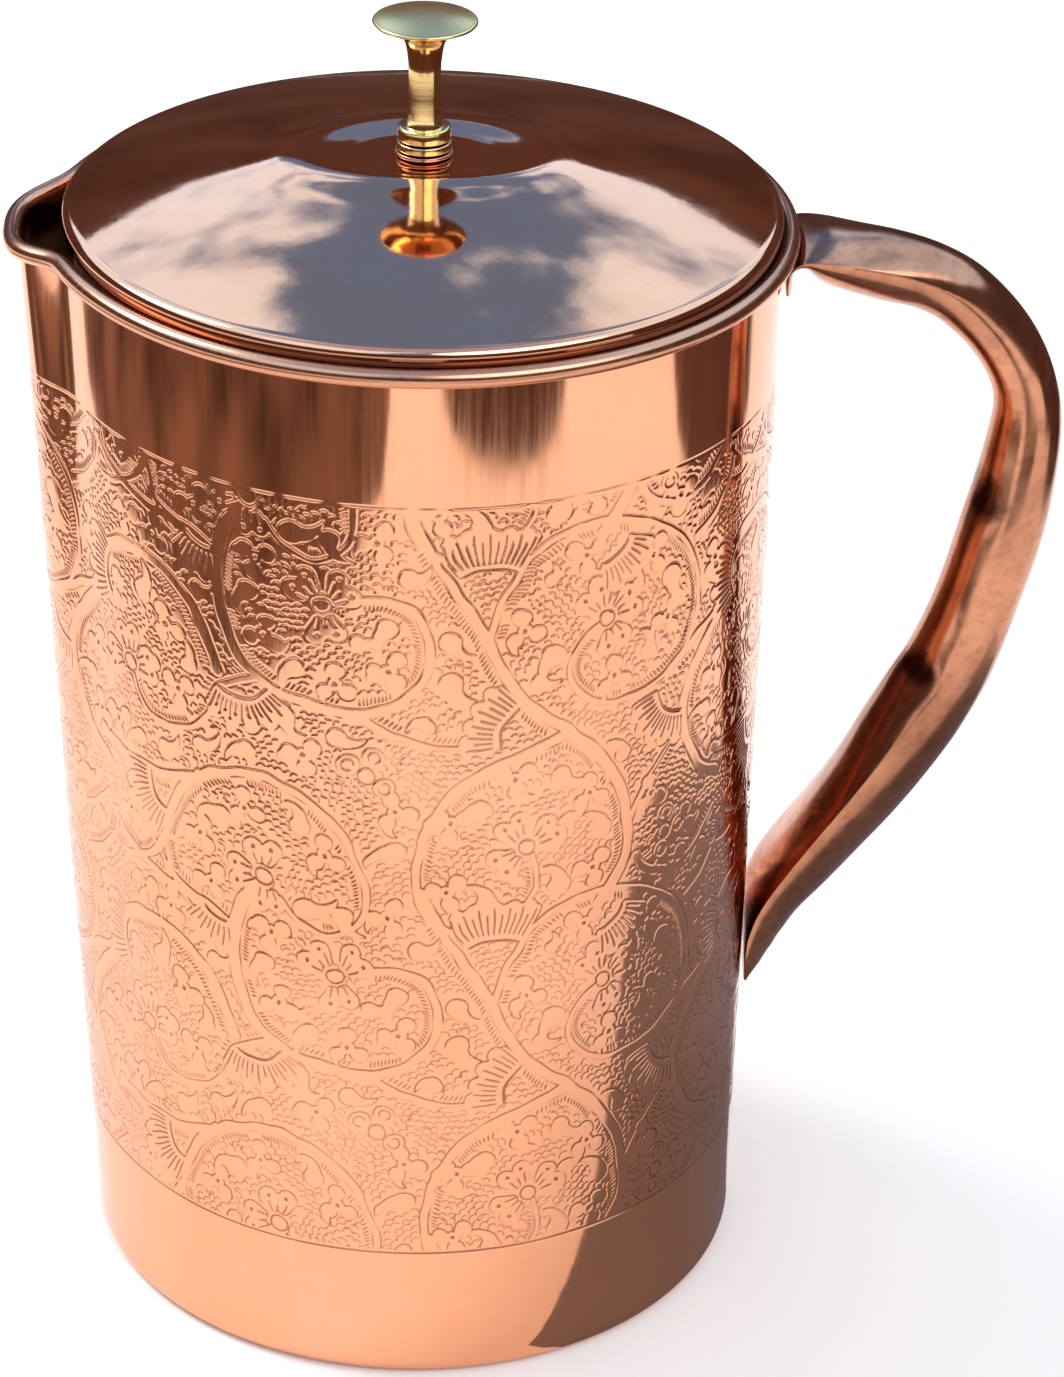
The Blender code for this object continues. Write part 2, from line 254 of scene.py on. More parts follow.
def metal(name, colour, second, roughness, streak=(1.0, 1.0, 0.05), streak_depth=4e-6, tarnish=0.10,
          painted_shade_below=None, satin_above=None, painted_reflection_spots=(), spots_from=0.62):
    """Polished sheet metal: two tones, a little tarnish, rubbing marks along one direction.

    It can carry painted shade below a height, be satin above one, and carry painted dark reflections round
    some places, all in mm.
    """
    n = Nodes(name)
    cloudy = n.noise(28.0, detail=4.0, rough=0.6)
    tone = n.blend(n.remap(cloudy, 0.35, 0.70, 0.0, 1.0), colour, second)
    spots = n.remap(n.noise(420.0, detail=5.0, rough=0.65), spots_from, 0.80, 0.0, tarnish)
    tone = n.blend(spots, tone, COPPER_DARK)
    # painted shade: darker towards the foot, below the given height
    if painted_shade_below is not None:
        painted_shade = n.remap(n.height(), (painted_shade_below - 0.4) * MM, painted_shade_below * MM, 0.85, 0.0)
        tone = n.blend(painted_shade, tone, COPPER_DARK)
    # painted dark reflections round the given places
    for place in painted_reflection_spots:
        far = n.maths("ADD", n.distance(place), n.remap(n.noise(260.0), 0.3, 0.7, -1.8 * MM, 1.8 * MM))
        tone = n.blend(n.remap(far, 1.8 * MM, 5.2 * MM, 0.92, 0.0), tone, PAINTED_DARK_REFLECTION)
    n.link(tone, n.bsdf.inputs["Base Color"])
    n.bsdf.inputs["Metallic"].default_value = 1.0
    rubbed = n.noise(900.0, stretch=streak, detail=3.0, rough=0.6)
    wide = n.remap(rubbed, 0.3, 0.7, roughness * 0.75, roughness * 1.35)
    wide = n.maths("ADD", wide, n.remap(cloudy, 0.3, 0.7, -0.015, 0.02))
    if satin_above is not None:
        satin = n.remap(n.height(), satin_above * MM, (satin_above + 0.1) * MM, 0.0, 0.17)
        wide = n.maths("ADD", wide, satin)
    n.link(wide, n.bsdf.inputs["Roughness"])
    marks = n.bump(rubbed, streak_depth)
    n.link(n.bump(n.noise(60.0, detail=2.0), 6e-5, normal=marks), n.bsdf.inputs["Normal"])
    return n.mat


def chased_metal(name):
    """The wall: as the polished sheet, with dark oxide held in the chased lines."""
    n = Nodes(name)
    depth = n.tree.nodes.new("ShaderNodeAttribute")
    depth.attribute_name = "chased"
    cut = depth.outputs["Fac"]
    cloudy = n.noise(22.0, detail=4.0, rough=0.6)
    tone = n.blend(n.remap(cloudy, 0.35, 0.70, 0.0, 1.0), COPPER, COPPER_WARM)
    spots = n.remap(n.noise(420.0, detail=5.0, rough=0.65), 0.62, 0.80, 0.0, 0.08)
    aged = n.blend(spots, tone, COPPER_DARK)
    patchy = n.remap(n.noise(45.0, detail=3.0), 0.3, 0.7, 0.55, 1.0)
    oxide = n.maths("MULTIPLY", n.remap(cut, 0.08, 0.66, 0.0, 0.82), patchy)
    bead = n.remap(n.height(), BEAD_FROM * MM, (BEAD_FROM + 0.2) * MM, 0.0, 1.0)
    n.link(n.blend(bead, n.blend(oxide, aged, COPPER_DARK), COPPER_GREY), n.bsdf.inputs["Base Color"])
    n.bsdf.inputs["Metallic"].default_value = 1.0
    rubbed = n.noise(1100.0, stretch=(1.0, 1.0, 0.03), detail=3.0, rough=0.6)
    rough = n.remap(rubbed, 0.3, 0.7, 0.05, 0.12)
    rough = n.maths("ADD", rough, n.remap(cut, 0.0, 1.0, 0.0, 0.25))
    rough = n.maths("ADD", rough, n.remap(cut, -1.0, -0.5, 0.4, 0.0))
    n.link(n.maths("ADD", rough, n.maths("MULTIPLY", bead, 0.13)), n.bsdf.inputs["Roughness"])
    marks = n.bump(rubbed, 2.5e-6)
    dents = n.noise(50.0, stretch=(1.0, 1.0, 0.5), detail=2.0)
    n.link(n.bump(dents, 8e-5, normal=marks), n.bsdf.inputs["Normal"])
    return n.mat


# ---- wall --------------------------------------------------------------------
def spout_bell(degrees_off, half):
    """1 in the middle of the spout, 0 well away from it."""
    broad = np.exp(-(degrees_off / half) ** 4)
    tail = np.exp(-(degrees_off / (1.7 * half)) ** 2)
    return 0.85 * broad + 0.15 * tail


def wall_plan(angle_deg, z):
    """Points of the wall's outside in plan."""
    part_way = z / RIM_Z
    off = np.abs((angle_deg % 360.0) - 180.0)
    half = SPOUT_HALF_DEG + SPOUT_SPREAD_DEG * (1.0 - part_way)
    r = R_BASE + (R_TOP - R_BASE) * part_way + SPOUT_OUT * part_way * spout_bell(off, half)
    a = np.radians(angle_deg)
    return r * np.cos(a), r * np.sin(a)


def wall_points(angle_deg, offset, z):
    """Points set off the wall's outside face, square to it, with the spout's dip."""
    x, y = wall_plan(angle_deg, z)
    x1, y1 = wall_plan(angle_deg + 0.5, z)
    x0, y0 = wall_plan(angle_deg - 0.5, z)
    along_x, along_y = x1 - x0, y1 - y0
    length = np.hypot(along_x, along_y)
    off = np.abs((angle_deg % 360.0) - 180.0)
    rise = np.clip((z - SPOUT_DROP_FROM) / (RIM_Z - SPOUT_DROP_FROM), 0.0, 1.0)
    drop = SPOUT_DROP * spout_bell(off, SPOUT_HALF_DEG) * rise * rise * (3.0 - 2.0 * rise)
    return np.stack([x + along_y / length * offset, y - along_x / length * offset, z - drop], axis=-1)


# ---- chased decoration -------------------------------------------------------
# One tile of it is drawn as a height field. "across" runs round the wall in mm of arc, measured
# from the front, and the tile repeats three times round the jug and twice up it.
TILE_WIDE = 119.38
TILE_HIGH = 67.6
TILE_LEAN = 1.9         # how far round one tile sits from the one below it
PATCH = 4.6             # the ground is in patches of about this size
PATCH_TURN = 65.0       # degrees that a patch may be turned
SCALE_STEP = 1.55       # from arc to arc in a row of the ground
SCALE_ROW = 1.12        # from row to row
GRID = 0.1
LINE = 0.125            # half width of a chased line
FAR = 3.0


class Tile:
    """A repeating field: where the plain motifs are, and how deep the chased lines are."""

    def __init__(self):
        self.shape = (round(TILE_HIGH / GRID), round(TILE_WIDE / GRID))
        self.plain = np.full(self.shape, FAR)       # distance to the nearest motif, inside negative
        self.cut = np.zeros(self.shape)
        self.busy = np.zeros(self.shape, dtype=bool)    # filled with comb strokes already

    def window(self, across, up, reach):
        """Rows, columns and local coordinates of the cells near a point."""
        middle = ((across + TILE_LEAN * up / TILE_HIGH) / GRID, up / GRID)
        span = math.ceil(reach / GRID)
        cols = round(middle[0]) + np.arange(-span, span + 1)
        rows = round(middle[1]) + np.arange(-span, span + 1)
        x = (cols - middle[0]) * GRID
        y = (rows - middle[1]) * GRID
        where = np.ix_(rows % self.shape[0], cols % self.shape[1])
        return where, x[None, :], y[:, None]

    def room(self, across, up):
        """How far a point is from the nearest motif."""
        where, _, _ = self.window(across, up, 0.0)
        return float(self.plain[where][0, 0])

    def blank(self, across, up, radius):
        """A plain round area."""
        where, x, y = self.window(across, up, radius + 2.2)
        self.plain[where] = np.minimum(self.plain[where], np.hypot(x, y) - radius)

    def mark(self, across, up, radius, depth=1.0):
        """A cut spot; rows of them make lines."""
        where, x, y = self.window(across, up, radius + 0.3)
        soft = np.clip((radius + 0.06 - np.hypot(x, y)) / 0.12, 0.0, 1.0) * depth
        self.cut[where] = np.maximum(self.cut[where], soft)

    def stroke(self, points, depth=1.0, heavy=1.0, taper=True):
        """A chased line along a curve, thinner at its ends."""
        path = smooth_path(points, 0.12)
        for i, (x, y) in enumerate(path):
            ends = min(i, len(path) - 1 - i) * 0.12
            thin = min(1.0, 0.45 + ends) if taper else 1.0
            self.mark(x, y, LINE * heavy * thin, depth)

    def band(self, points, wide_0, wide_1):
        """A plain stem that changes width along its length."""
        path = smooth_path(points, 0.16)
        for i, (x, y) in enumerate(path):
            t = i / (len(path) - 1)
            self.blank(x, y, wide_0 + (wide_1 - wide_0) * t)


def comb(tile, points, wide_0, wide_1):
    """Short strokes that stand on the inner side of a curling stem."""
    path = np.array(smooth_path(points, 0.8))
    steps = np.diff(path, axis=0)
    turning = steps[:-1, 0] * steps[1:, 1] - steps[:-1, 1] * steps[1:, 0]
    side = 1.0 if turning.sum() > 0.0 else -1.0
    for i in range(2, len(path) - 2):
        along = (path[i + 1] - path[i - 1]) / np.hypot(*(path[i + 1] - path[i - 1]))
        out = side * np.array((-along[1], along[0]))
        wide = wide_0 + (wide_1 - wide_0) * i / (len(path) - 1)
        foot = path[i] + out * (wide + 0.45)
        tip = path[i] + out * (wide + 1.55) + 0.45 * along
        if tile.room(*foot) > 0.25 and tile.room(*tip) > 0.35:
            tile.stroke([foot, tip])
            where, x, y = tile.window(*(0.5 * (foot + tip)), 0.8)
            tile.busy[where] = True


def between(knots, i, t):
    """A point on the Catmull-Rom curve through the knots, t of the way from knot i to the next."""
    p0, p1, p2, p3 = knots[max(i - 1, 0)], knots[i], knots[i + 1], knots[min(i + 2, len(knots) - 1)]
    return 0.5 * (2 * p1 + (p2 - p0) * t + (2 * p0 - 5 * p1 + 4 * p2 - p3) * t * t
                  + (3 * p1 - p0 - 3 * p2 + p3) * t ** 3)


def smooth_path(points, step):
    """Points about one step apart on a smooth curve."""
    knots = np.array(points, dtype=float)
    out = []
    for i in range(len(knots) - 1):
        count = max(2, math.ceil(np.hypot(*(knots[i + 1] - knots[i])) / step))
        out += [between(knots, i, t) for t in np.arange(count) / count]
    return out + [knots[-1]]


def polar(centre, radius, degrees):
    a = math.radians(degrees)
    return centre[0] + radius * math.cos(a), centre[1] + radius * math.sin(a)


def flower(tile, centre, petals, size=1.0):
    """A plain round eye with heart-shaped petals, three stamens and two dots on each."""
    tile.blank(*centre, 1.35 * size)
    for angle in petals:
        for side in (-1, 1):
            for r, wide in ((5.3, 1.75), (4.6, 1.55), (3.9, 1.3), (3.2, 1.05)):
                tile.blank(*polar(centre, r * size, angle + side * 18.5), wide * size)
            tile.mark(*polar(centre, 5.4 * size, angle + side * 16.5), 0.34)
        tile.blank(*polar(centre, 4.3 * size, angle), 1.6 * size)
        for turn in (-23.0, 0.0, 23.0):
            reach = 4.4 if turn else 3.8
            foot = polar(centre, 2.2 * size, angle + turn)
            tip = polar(centre, reach * size, angle + turn * 0.95)
            tile.stroke([foot, tip], heavy=1.05)
    ring = [polar(centre, 1.45 * size, a) for a in range(0, 361, 30)]
    tile.stroke(ring, taper=False)


def trefoil(tile, across, up, turn, size=1.0):
    """Three round lobes about a dot."""
    for angle, r, wide in ((0.0, 2.35, 1.55), (128.0, 2.2, 1.45), (238.0, 2.35, 1.5)):
        tile.blank(*polar((across, up), r * size, turn + angle), wide * size)
    tile.blank(across, up, 1.3 * size)
    tile.mark(across, up, 0.34)
    leaf(tile, polar((across, up), 2.2 * size, turn + 128.0), turn + 150.0, 3.0 * size, 1.1 * size)


def leaf(tile, start, angle, length, wide):
    """A plain leaf that curls as it narrows to a point."""
    x, y = start
    steps = math.ceil(length / 0.16)
    for i in range(steps):
        t = i / steps
        tile.blank(x, y, wide * (1.0 - t) ** 0.8)
        x, y = polar((x, y), 0.16, angle + 85.0 * t)


def daisy(tile, centre, petals):
    """A small flower whose petals are loops within loops."""
    tile.blank(*centre, 1.3)
    tile.stroke([polar(centre, 1.35, a) for a in range(0, 361, 40)], taper=False)
    for angle in petals:
        middle = polar(centre, 3.4, angle)
        tile.blank(*middle, 1.85)
        loop = [polar(middle, 1.0, angle + a) for a in (-150, -100, -50, 0, 50, 100, 150)]
        tile.stroke(loop)


def fan(tile, centre, angle, spread, inner, outer):
    """Strokes that spread from an arc, with a scalloped edge; scales fill the middle."""
    sweep = [angle + spread * t for t in (-1.0, -0.5, 0.0, 0.5, 1.0)]
    wedge = np.arange(-spread, spread + 0.1, 3.0)
    for a in wedge:
        for r in np.arange(inner + 0.7, outer + 0.1, 0.8):
            tile.blank(*polar(centre, r, angle + a), 0.85)
    tile.stroke([polar(centre, inner, a) for a in sweep], heavy=1.3)
    lobes = max(2, round(spread * outer / 90.0))
    for i in range(lobes):
        middle = angle + spread * (2.0 * i + 1.0 - lobes) / lobes
        tile.blank(*polar(centre, outer, middle), 1.5)
    count = round(2.0 * spread * outer / 57.3 / 1.25)
    for i in range(count + 1):
        a = angle - spread + 2.0 * spread * i / count
        tile.stroke([polar(centre, inner + 1.1, a), polar(centre, outer + 0.1 - 1.2 * (i % 2), a)])


def ground(tile, rng):
    """Small arcs over whatever is not plain, in small patches of rows that each run their own way."""
    rows, cols = tile.shape
    box = np.array((TILE_WIDE, TILE_HIGH))
    count = np.round(box / PATCH).astype(int)
    cells = np.stack(np.meshgrid(range(count[0]), range(count[1])), axis=-1)
    middles = ((cells + rng.uniform(0.1, 0.9, cells.shape)) * box / count).reshape(-1, 2)
    steps = [(i + 0.5 * (j % 2), j) for j in range(-5, 6) for i in range(-4, 5)]
    for own, middle in enumerate(middles):
        turn = rng.uniform(-PATCH_TURN, PATCH_TURN)
        cos, sin = math.cos(math.radians(turn)), math.sin(math.radians(turn))
        for i, j in steps:
            along = i * SCALE_STEP + rng.uniform(-0.16, 0.16)
            over = j * SCALE_ROW + rng.uniform(-0.12, 0.12)
            x, y = (middle + (along * cos - over * sin, along * sin + over * cos)) % box
            apart = np.abs(middles - (x, y))
            gap = np.hypot(*np.minimum(apart, box - apart).T)
            r, c = round(y / GRID) % rows, round(x / GRID) % cols
            if gap.argmin() != own or tile.plain[r, c] < 0.55 or tile.busy[r, c]:
                continue
            size = min(0.86, tile.plain[r, c] + 0.1) * rng.uniform(0.85, 1.0)
            scallop(tile, x - TILE_LEAN * y / TILE_HIGH, y, 90.0 + turn, size)


def scallop(tile, across, up, lean, size):
    """One small arc, bulging towards lean."""
    where, x, y = tile.window(across, up, 1.2)
    a = math.radians(lean)
    out = x * math.cos(a) + y * math.sin(a)
    side = y * math.cos(a) - x * math.sin(a)
    ring = np.abs(np.hypot(out + 0.25 * size, side * 0.95) - 0.82 * size)
    soft = np.clip((LINE * 0.92 + 0.05 - ring) / 0.11, 0.0, 1.0) * (out > -0.12 * size)
    soft *= tile.plain[where] > 0.12
    tile.cut[where] = np.maximum(tile.cut[where], soft * 0.7)


def blur(field, cells):
    """Gaussian blur of a repeating field."""
    fy = np.fft.fftfreq(field.shape[0])[:, None]
    fx = np.fft.rfftfreq(field.shape[1])[None, :]
    soft = np.exp(-2.0 * (np.pi * cells) ** 2 * (fx * fx + fy * fy))
    return np.fft.irfft2(np.fft.rfft2(field) * soft, field.shape)


STEMS = (       # each a plain curling stem: points (across, up), half width at start and end
    (((-1.2, 163.5), (3.8, 153.0), (9.8, 143.0), (12.6, 136.5), (16.2, 130.5), (21.5, 125.3),
      (27.5, 120.2), (32.0, 114.5), (35.2, 107.5), (36.2, 100.5), (34.8, 94.5), (31.0, 89.5)), 0.8,
      1.15),
    (((10.6, 141.0), (13.4, 149.0), (17.8, 155.5), (24.0, 158.9), (31.0, 159.0), (38.0, 156.8),
      (44.2, 152.6), (48.2, 147.4), (49.9, 141.5), (49.4, 135.7), (46.2, 130.6), (40.4, 127.2),
      (33.5, 126.0), (28.0, 127.6), (24.9, 131.2), (24.3, 135.2), (26.4, 138.9), (29.5, 141.2)),
      0.6, 0.55),
    (((24.0, 122.6), (15.5, 119.9), (8.6, 116.6), (3.6, 111.8), (0.8, 105.4), (-0.2, 98.4),
      (1.2, 92.2), (5.6, 88.6), (11.8, 88.6), (16.8, 91.2), (19.4, 95.8), (18.6, 101.6)), 1.0, 0.5),
    (((-27.0, 162.6), (-31.0, 157.6), (-32.9, 151.0), (-32.8, 143.6), (-30.5, 136.9),
      (-26.2, 132.0), (-19.5, 129.6), (-11.0, 128.4), (-4.4, 129.8), (0.2, 134.0), (1.6, 140.4),
      (-0.6, 146.6), (-6.0, 149.0), (-12.0, 147.8)), 1.3, 0.6),
    (((-26.0, 131.9), (-33.2, 128.0), (-36.0, 121.8), (-41.0, 118.2), (-47.0, 117.6),
      (-51.0, 120.0), (-52.6, 123.4)), 0.8, 0.5),
    (((-33.4, 131.0), (-36.8, 138.6), (-41.4, 143.8), (-47.6, 146.4), (-55.8, 145.8),
      (-61.0, 142.0)), 1.2, 0.9),
    (((-62.5, 108.6), (-55.0, 107.3), (-47.0, 107.6), (-40.0, 109.4), (-33.0, 112.8),
      (-26.6, 114.2), (-19.8, 112.6), (-13.8, 108.2), (-10.0, 102.0), (-8.2, 95.6), (-9.0, 90.2),
      (-13.6, 87.0), (-19.0, 88.4), (-22.6, 92.4)), 1.0, 0.5),
    (((-37.6, 110.6), (-42.2, 105.2), (-44.8, 99.0), (-45.0, 92.4), (-42.0, 86.8), (-37.2, 84.0)),
      1.1, 0.35),
    (((-44.8, 97.0), (-49.0, 91.6), (-55.6, 88.6), (-61.5, 89.4)), 0.9, 0.5),
    (((57.0, 134.2), (51.6, 129.4), (47.9, 122.6), (48.4, 114.4), (52.4, 107.4), (58.4, 103.4)),
      1.0, 1.0),
    (((44.0, 128.6), (49.5, 131.8), (54.0, 134.0), (59.5, 136.8)), 0.9, 0.6),
    (((37.8, 96.0), (41.5, 92.2), (47.5, 90.6), (53.4, 92.8), (57.4, 97.4)), 0.9, 0.5),
    (((49.0, 150.6), (53.4, 152.8), (57.6, 157.4), (58.6, 163.0)), 0.9, 0.5),
    (((-34.0, 152.0), (-40.6, 154.6), (-48.6, 155.6), (-57.0, 158.6), (-61.8, 162.6)), 1.2, 0.6),
    (((-41.0, 155.0), (-47.4, 158.6), (-51.6, 163.8)), 0.8, 0.3),
    (((-9.4, 127.8), (-4.0, 124.6), (2.0, 123.0), (8.0, 122.4)), 0.8, 0.3),
    (((36.6, 103.0), (40.4, 110.0), (44.6, 114.2)), 0.7, 0.3),
)
FLOWERS = (     # eye, petal directions
    ((30.2, 141.9), (118.0, 22.0, -67.0)), ((17.6, 103.1), (122.0, 30.0, 215.0)),
    ((-15.2, 146.9), (138.0, 40.0, 280.0)), ((-53.1, 125.3), (15.0, 100.0, 190.0)),
    ((-25.4, 95.6), (93.0, 183.0, 277.0)),
)
TREFOILS = (    # dot, turn
    (16.3, 142.5, 100), (42.6, 138.4, 60), (32.1, 130.9, 90), (26.3, 154.0, 150), (39.1, 150.6, 60),
    (15.4, 116.0, 150), (28.4, 110.6, 90), (40.9, 106.6, 100), (5.2, 108.6, 20), (4.9, 96.0, 45),
    (29.4, 96.6, 45), (55.5, 123.6, 70), (56.2, 111.7, 100), (-4.6, 136.2, 60), (-26.2, 153.0, 20),
    (-13.1, 133.4, 90), (-24.6, 139.6, 200), (-43.8, 136.0, 110), (-57.7, 137.4, 60), (-41.6, 125.0, 150),
    (-18.5, 119.6, 45), (-28.6, 107.6, 100), (-14.9, 101.6, 90), (-57.2, 113.2, 30), (-37.6, 100.0, 70),
    (-35.6, 91.6, 60), (-54.4, 97.6, 80), (-6.6, 158.6, 60), (44.6, 159.6, 20), (-46.6, 151.0, 80),
    (-3.6, 110.8, 110), (54.2, 144.6, 110), (-53.0, 151.6, 20), (49.0, 98.2, 200),
)
BUDS = (        # centre, radius
    (21.2, 137.2, 1.9), (18.9, 133.2, 1.4), (43.1, 145.4, 2.1), (38.9, 133.6, 1.7), (34.6, 116.2, 1.5),
    (23.1, 115.0, 1.8), (-1.8, 152.4, 1.6), (4.6, 141.6, 1.7), (4.8, 134.2, 1.9), (1.4, 126.6, 1.4),
    (31.2, 103.3, 1.9), (11.2, 93.4, 1.8), (23.4, 94.8, 1.9), (53.4, 117.4, 1.7), (10.2, 111.0, 1.7),
    (52.6, 158.6, 1.7), (-20.0, 158.6, 2.1), (-14.0, 158.4, 1.9), (-27.6, 147.0, 1.8), (-37.2, 144.4, 1.5),
    (-39.0, 130.4, 1.8), (-49.2, 139.7, 2.1), (-19.8, 135.0, 1.8), (-44.8, 112.4, 1.8), (-36.8, 116.4, 1.7),
    (-28.4, 118.4, 1.7), (-33.4, 104.6, 1.9), (-12.8, 123.6, 1.7), (-5.0, 143.6, 1.8), (-3.8, 103.6, 1.9),
    (-51.0, 112.0, 1.7), (-19.0, 106.4, 1.8), (24.6, 106.8, 1.5), (36.0, 146.2, 1.3), (28.0, 148.8, 1.2),
    (-59.6, 119.6, 1.7), (-47.0, 127.6, 1.5), (-9.4, 141.0, 1.4), (-21.6, 125.4, 1.5), (20.6, 150.6, 1.2),
)
FANS = (        # centre, direction, half spread in degrees, radius of the arc, reach
    ((10.8, 143.2), 91.0, 25.0, 10.6, 16.8), ((20.4, 122.9), 157.0, 28.0, 7.4, 12.6),
    ((47.6, 126.4), 231.0, 36.0, 6.6, 11.6), ((66.5, 139.0), 178.0, 34.0, 6.4, 11.8),
    ((-29.5, 133.4), -78.0, 46.0, 6.0, 10.6), ((-43.0, 106.6), 212.0, 36.0, 5.6, 11.6),
    ((-34.6, 158.6), 250.0, 24.0, 6.2, 11.0), ((30.6, 89.6), -52.0, 30.0, 5.4, 10.4),
)


def draw_tile():
    tile = Tile()
    for points, start, end in STEMS:
        tile.band(points, start, end)
    for eye, petals in FLOWERS:
        flower(tile, eye, petals)
    for across, up, turn in TREFOILS:
        trefoil(tile, across, up, turn)
    daisy(tile, (-8.0, 117.2), (75.0, 150.0, -40.0))
    daisy(tile, (44.4, 98.4), (92.0, 0.0, -97.0))
    rng = np.random.default_rng(7)
    for across, up, radius in BUDS:
        tile.blank(across, up, radius)
        heading = rng.uniform(0.0, 360.0)
        leaf(tile, polar((across, up), 0.5 * radius, heading), heading, 2.6 * radius, 0.75 * radius)
    for place in FANS:
        fan(tile, *place)
    # outlines are cut from above, so they are heavy over a motif and faint or broken under it
    facing = np.gradient(blur(np.clip(tile.plain, -1.0, 1.0), 1.5))[0] / GRID
    unsteady = blur(rng.normal(size=tile.shape), 9.0)
    press = np.clip(0.78 + 0.50 * facing + 0.22 * unsteady / unsteady.std(), 0.08, 1.0)
    outline = np.clip((0.03 + LINE * (0.45 + 0.6 * press) - np.abs(tile.plain - 0.02)) / 0.09, 0.0, 1.0)
    tile.cut = np.maximum(tile.cut, outline * press)
    for stem in STEMS:
        comb(tile, *stem)
    ground(tile, rng)
    # the hand that cut it: lines wander by a quarter of a millimetre
    shake = [blur(rng.normal(size=tile.shape), 13.0) for _ in range(2)]
    rows, cols = np.indices(tile.shape)
    drift = [s / s.std() * 0.15 for s in shake]
    across = (cols * GRID + drift[0]) - TILE_LEAN * rows * GRID / TILE_HIGH
    return sample_tile(tile.cut, across, rows * GRID + drift[1])


def sample_tile(cut, across, up):
    """Depth of the cut at points of the wall, between the cells."""
    y = up / GRID
    x = (across + TILE_LEAN * up / TILE_HIGH) / GRID
    x0, y0 = np.floor(x).astype(int), np.floor(y).astype(int)
    fx, fy = x - x0, y - y0
    rows, cols = cut.shape
    x1, y1 = (x0 + 1) % cols, (y0 + 1) % rows
    x0, y0 = x0 % cols, y0 % rows
    low = cut[y0, x0] * (1.0 - fx) + cut[y0, x1] * fx
    high = cut[y1, x0] * (1.0 - fx) + cut[y1, x1] * fx
    return low * (1.0 - fy) + high * fy


def chased_depth(angle_deg, up):
    """How deep the wall is cut, 0 to 1: the tile within the band, and the band's two border lines."""
    across = np.radians(angle_deg - FRONT_DEG) * ARC_R + 0.0 * up
    up = up + 0.0 * across
    inside = np.clip((BAND_HIGH - 0.3 - up) / 1.2, 0.0, 1.0) * np.clip((up - BAND_LOW - 0.5) / 0.1, 0.0, 1.0)
    depth = sample_tile(draw_tile(), across, up) * inside
    ragged = 0.5 + 0.5 * np.sin(across * 0.9 + 1.7 * np.sin(across * 0.31)) * np.sin(across * 0.23 + 1.0)
    upper = 0.7 * np.clip((0.14 + 0.08 * ragged - np.abs(up - BAND_HIGH)) / 0.12, 0.0, 1.0)
    lower = np.clip((0.20 - np.abs(up - BAND_LOW)) / 0.10, 0.0, 1.0)
    return np.maximum(depth, np.maximum(upper * np.clip(1.6 * ragged, 0.2, 1.0), lower))


def build_wall():
    columns = 2000 if FINE else 1000
    band_rows = 780 if FINE else 390
    curl_out = RIM_HOLLOW + SHEET
    outside = [(-FLANGE, 0.0)] + line((-FLANGE, 0.0), (-FOOT_R, 0.0), 3)
    outside += arc(-FOOT_R, FOOT_R, FOOT_R, -90.0, 0.0, 10)[1:]
    outside += line((0.0, FOOT_R), (0.0, BAND_LOW - BORDER), 8)
    first = len(outside) - 1
    outside += line((0.0, BAND_LOW - BORDER), (0.0, BAND_HIGH + BORDER), band_rows)
    last = len(outside)
    outside += line((0.0, BAND_HIGH + BORDER), (0.0, RIM_Z), 10)
    hollow = arc(RIM_HOLLOW, RIM_Z, RIM_HOLLOW, 180.0, -RIM_GAP_DEG, 28)[1:]
    back = arc(RIM_HOLLOW, RIM_Z, curl_out, -RIM_GAP_DEG, 180.0, 40)
    inside = line((-SHEET, RIM_Z), (-SHEET, FOOT_R), 24)
    inside += arc(-FOOT_R, FOOT_R, FOOT_R - SHEET, 0.0, -90.0, 8)[1:]
    inside += line((-FOOT_R, SHEET), (-FLANGE, SHEET), 3)
    outline = np.array(outside + hollow + back + inside)
    angles = 360.0 * np.arange(columns)[:, None] / columns
    offset = np.broadcast_to(outline[None, :, 0], (columns, len(outline))).copy()
    depth = np.zeros_like(offset)
    depth[:, first:last] = chased_depth(angles, outline[None, first:last, 1])
    offset -= CUT_DEPTH * depth
    verts = wall_points(angles, offset, outline[None, :, 1])
    mat = chased_metal("copper_chased")
    wall = add_object("wall_chased", verts.reshape(-1, 3), loft_faces(columns, len(outline), True),
                      mat, "jug", "body_wall")
    chased = wall.data.attributes.new("chased", "FLOAT", "POINT")
    depth[:, len(outline) - len(inside):] = -1.0        # marks the unpolished inside
    chased.data.foreach_set("value", depth.ravel().astype(np.float32))
    return wall


